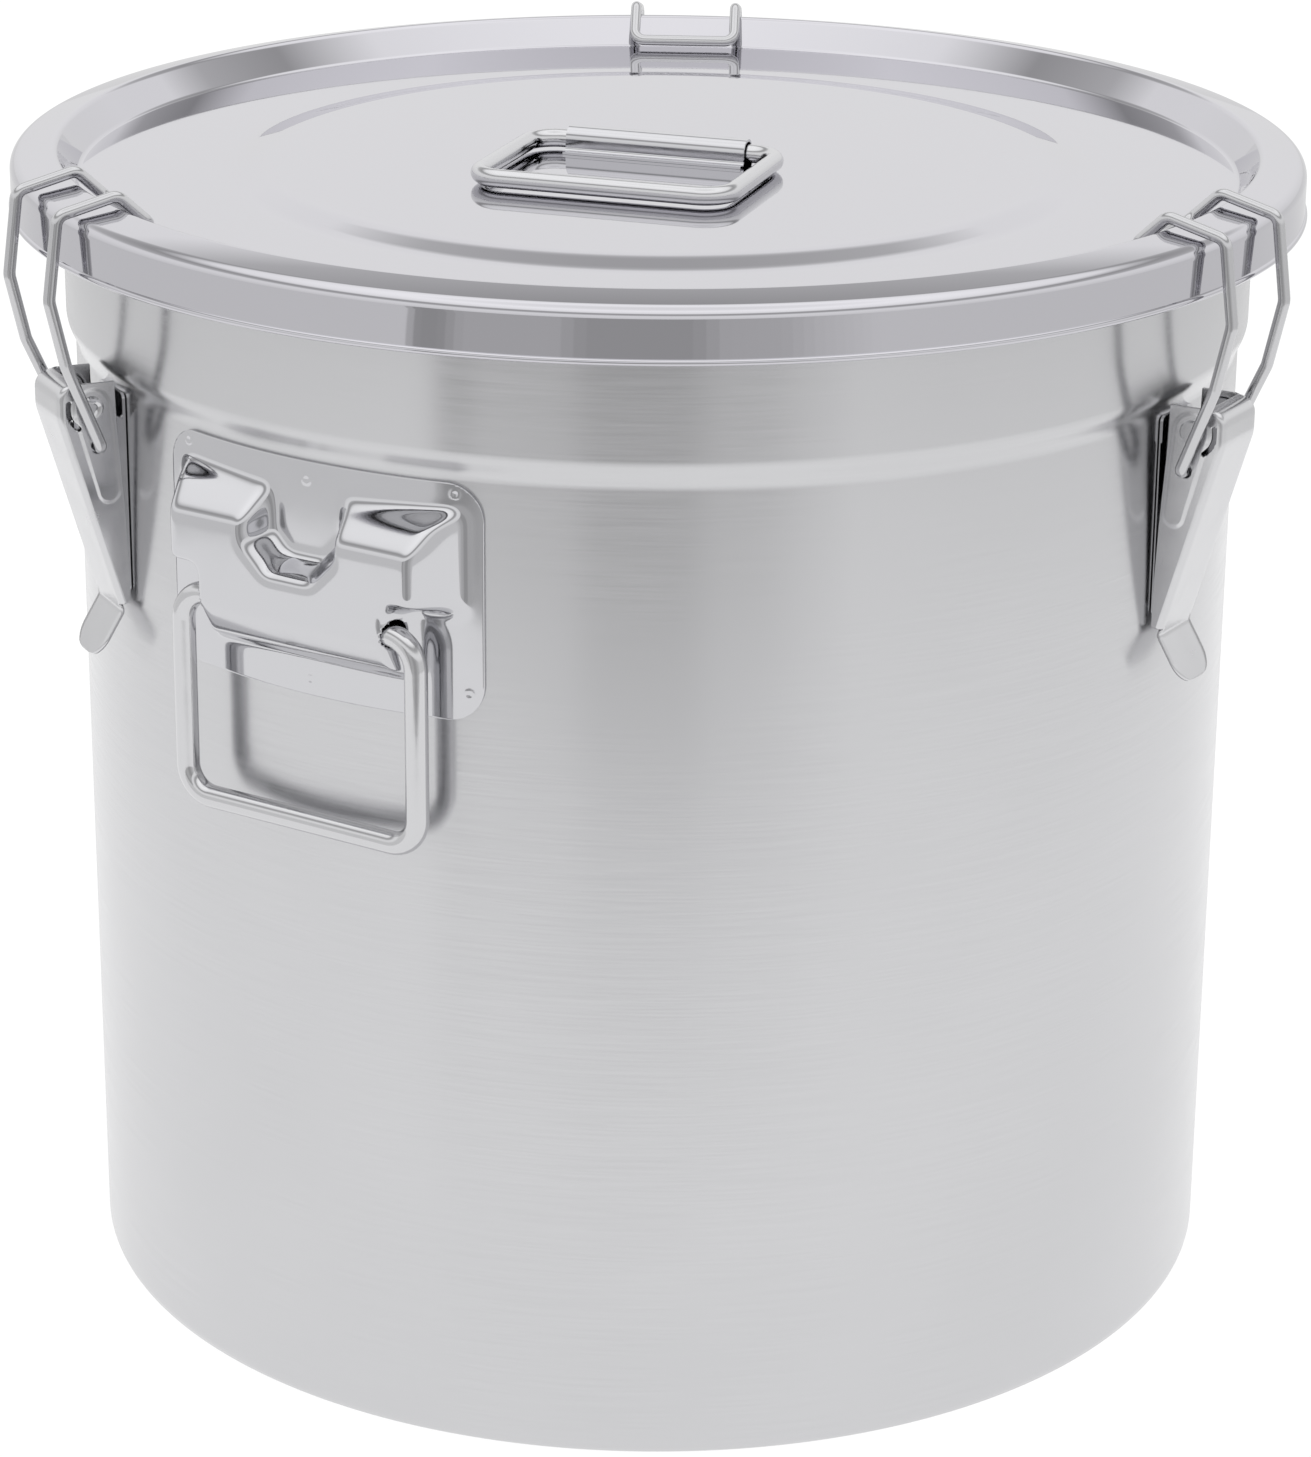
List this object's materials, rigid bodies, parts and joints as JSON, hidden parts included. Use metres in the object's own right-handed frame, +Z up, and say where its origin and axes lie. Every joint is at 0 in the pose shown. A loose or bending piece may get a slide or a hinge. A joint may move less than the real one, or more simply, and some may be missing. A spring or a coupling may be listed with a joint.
{
  "type": "milk can",
  "caption": "Straight-sided stainless milk can with a stepped collar, a clamped recessed lid, swinging side handles and over-centre wire latches.",
  "frame": {"origin": "centre of the underside of the can's flat base", "axes": "+Z up along the can's axis; -Y towards the front latch; side handles on -X and +X"},
  "size_m": [0.4416, 0.4502, 0.4056],
  "materials": {
    "brushed_steel": "brushed stainless steel",
    "polished_steel": "mirror-polished stainless steel",
    "polished_wire": "polished stainless steel rod and wire",
    "gasket_rubber": "white food-grade silicone"
  },
  "bodies": {
    "can": {"can_shell": "brushed_steel", "can_base": "brushed_steel", "can_mouth": "brushed_steel", "handle_plate_left": "polished_steel", "handle_plate_right": "polished_steel", "latch_base_front": "polished_steel", "latch_rivet_front": "polished_steel", "latch_base_left": "polished_steel", "latch_rivet_left": "polished_steel", "latch_base_right": "polished_steel", "latch_rivet_right": "polished_steel"},
    "lid": {"lid_shell": "polished_steel", "lid_gasket": "gasket_rubber", "lid_handle_sleeve": "polished_steel"},
    "lid_handle": {"lid_handle_ring": "polished_wire"},
    "handle_left": {"handle_ring_left": "polished_wire"},
    "handle_right": {"handle_ring_right": "polished_wire"},
    "lever_front": {"latch_lever_front": "polished_steel"},
    "bail_front": {"latch_bail_front": "polished_wire"},
    "lever_left": {"latch_lever_left": "polished_steel"},
    "bail_left": {"latch_bail_left": "polished_wire"},
    "lever_right": {"latch_lever_right": "polished_steel"},
    "bail_right": {"latch_bail_right": "polished_wire"}
  },
  "joints": [
    {"name": "lid_turn", "type": "hinge", "parent": "can", "child": "lid", "pos_m": [0, 0, 0.39], "axis": [0, 0, 1], "continuous": true},
    {"name": "lid_handle_swing", "type": "hinge", "parent": "lid", "child": "lid_handle", "pos_m": [0, 0, 0.3963], "axis": [-0.247, 0.969, 0], "range_deg": [0, 180]},
    {"name": "handle_left_swing", "type": "hinge", "parent": "can", "child": "handle_left", "pos_m": [-0.207, 0, 0.286], "axis": [0, 1, 0], "range_deg": [-2, 100]},
    {"name": "handle_right_swing", "type": "hinge", "parent": "can", "child": "handle_right", "pos_m": [0.207, 0, 0.286], "axis": [0, -1, 0], "range_deg": [-2, 100]},
    {"name": "latch_front_lever_swing", "type": "hinge", "parent": "can", "child": "lever_front", "pos_m": [0, -0.212, 0.333], "axis": [-1, 0, 0], "range_deg": [0, 115]},
    {"name": "latch_front_bail_swing", "type": "hinge", "parent": "lever_front", "child": "bail_front", "pos_m": [0, -0.2103, 0.32], "axis": [-1, 0, 0], "range_deg": [-98, 0]},
    {"name": "latch_left_lever_swing", "type": "hinge", "parent": "can", "child": "lever_left", "pos_m": [-0.1836, 0.106, 0.333], "axis": [0.5, 0.866, 0], "range_deg": [0, 115]},
    {"name": "latch_left_bail_swing", "type": "hinge", "parent": "lever_left", "child": "bail_left", "pos_m": [-0.18213, 0.10515, 0.32], "axis": [0.5, 0.866, 0], "range_deg": [-98, 0]},
    {"name": "latch_right_lever_swing", "type": "hinge", "parent": "can", "child": "lever_right", "pos_m": [0.1836, 0.106, 0.333], "axis": [0.5, -0.866, 0], "range_deg": [0, 115]},
    {"name": "latch_right_bail_swing", "type": "hinge", "parent": "lever_right", "child": "bail_right", "pos_m": [0.18213, 0.10515, 0.32], "axis": [0.5, -0.866, 0], "range_deg": [-98, 0]}
  ],
  "couplings": [
    {"joint": "latch_front_bail_swing", "follows": "latch_front_lever_swing", "ratio": -0.85},
    {"joint": "latch_left_bail_swing", "follows": "latch_left_lever_swing", "ratio": -0.85},
    {"joint": "latch_right_bail_swing", "follows": "latch_right_lever_swing", "ratio": -0.85}
  ]
}
